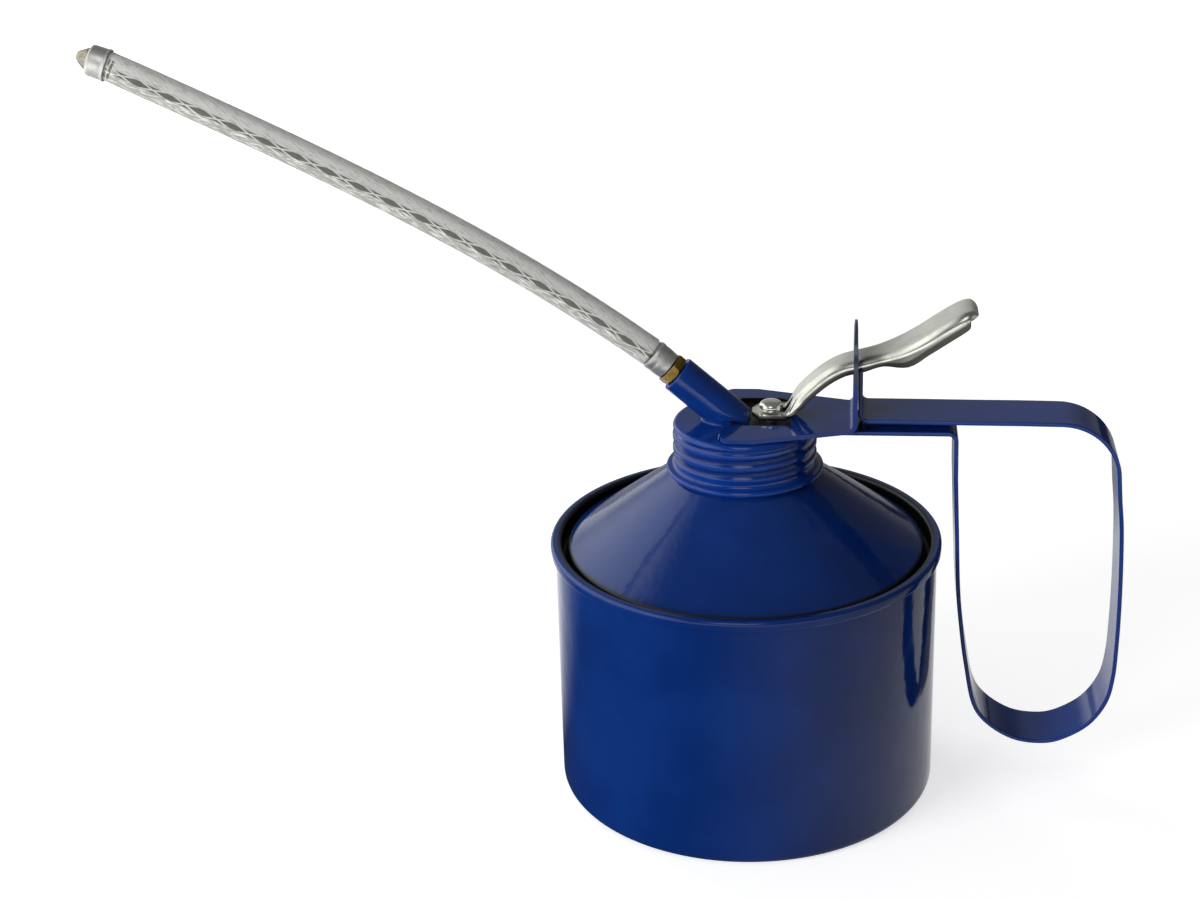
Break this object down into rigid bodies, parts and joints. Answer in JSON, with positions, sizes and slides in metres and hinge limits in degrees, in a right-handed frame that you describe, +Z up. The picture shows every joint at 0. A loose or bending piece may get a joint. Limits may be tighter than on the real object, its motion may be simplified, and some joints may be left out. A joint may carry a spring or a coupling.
{
  "type": "pump oil can",
  "caption": "Blue steel oil can with a screw-on pump head, chrome thumb lever, strap handle and a clear braided spout that rises to a small nozzle.",
  "frame": {"origin": "centre of the can's flat base", "axes": "+Z up along the can's axis, +X towards the handle, the spout leans towards -X, +Y completes the right-handed frame"},
  "size_m": [0.2626, 0.1024, 0.2006],
  "materials": {
    "can_body": "gloss paint on drawn steel",
    "shoulder_cone": "gloss paint on drawn steel",
    "cap_gasket": "plain sealing ring",
    "screw_cap": "gloss paint on drawn steel",
    "bracket_plate": "gloss paint on steel plate",
    "handle_strip": "gloss paint on steel strip",
    "spout_socket": "gloss paint on steel tube",
    "spout_nipple": "dulled turned brass",
    "lower_ferrule": "satin crimped ferrule",
    "hose": "clear hose with white braid",
    "upper_ferrule": "satin crimped ferrule",
    "nozzle": "moulded tip",
    "outlet_chamber": "plain pressed steel",
    "rod_gland": "turned brass",
    "gland_packing": "plain sealing ring",
    "pump_barrel": "drawn brass tube",
    "spring_stop": "turned brass",
    "return_spring": "spring wire",
    "foot_valve_body": "turned brass",
    "foot_ball_pin": "plain steel pin",
    "foot_ball": "polished steel ball",
    "suction_tube": "drawn steel tube",
    "suction_strainer": "pressed brass",
    "lever": "bright chrome plate",
    "pump_rod": "bright plated rod",
    "piston": "turned brass",
    "piston_cup": "oiled cup leather",
    "piston_ball": "polished steel ball"
  },
  "bodies": {
    "can": {"can_body": "can_body", "shoulder_cone": "shoulder_cone"},
    "gasket": {"cap_gasket": "cap_gasket"},
    "head": {"screw_cap": "screw_cap", "bracket_plate": "bracket_plate", "handle_strip": "handle_strip", "spout_socket": "spout_socket", "spout_nipple": "spout_nipple", "lower_ferrule": "lower_ferrule", "hose": "hose", "upper_ferrule": "upper_ferrule", "nozzle": "nozzle", "outlet_chamber": "outlet_chamber", "rod_gland": "rod_gland", "gland_packing": "gland_packing", "pump_barrel": "pump_barrel", "spring_stop": "spring_stop", "return_spring": "return_spring", "foot_valve_body": "foot_valve_body", "foot_ball_pin": "foot_ball_pin", "suction_tube": "suction_tube", "suction_strainer": "suction_strainer"},
    "lever": {"lever": "lever"},
    "rod": {"pump_rod": "pump_rod", "piston": "piston", "piston_cup": "piston_cup"},
    "piston_ball": {"piston_ball": "piston_ball"},
    "foot_ball": {"foot_ball": "foot_ball"}
  },
  "joints": [
    {"name": "cap_lift", "type": "slide", "parent": "can", "child": "gasket", "axis": [0, 0, 1], "range_m": [0, 0.00825]},
    {"name": "cap_turn", "type": "hinge", "parent": "gasket", "child": "head", "pos_m": [0, 0, 0.1], "axis": [0, 0, 1], "range_deg": [0, 900]},
    {"name": "lever_press", "type": "hinge", "parent": "head", "child": "lever", "pos_m": [0.0289, 0, 0.1172], "axis": [0, 1, 0], "range_deg": [0, 12]},
    {"name": "pump_slide", "type": "slide", "parent": "head", "child": "rod", "axis": [0, 0, 1], "range_m": [0, 0.00505], "stiffness_N_per_m": 30, "springref_m": -0.003, "deforming": ["return_spring"]},
    {"name": "piston_ball_lift", "type": "slide", "parent": "rod", "child": "piston_ball", "axis": [0, 0, 1], "range_m": [0, 0.0009]},
    {"name": "foot_ball_lift", "type": "slide", "parent": "head", "child": "foot_ball", "axis": [0, 0, 1], "range_m": [0, 0.0009]}
  ],
  "couplings": [
    {"joint": "cap_turn", "follows": "cap_lift", "rad_per_m": 1904},
    {"joint": "lever_press", "follows": "pump_slide", "rad_per_m": 41.3}
  ]
}
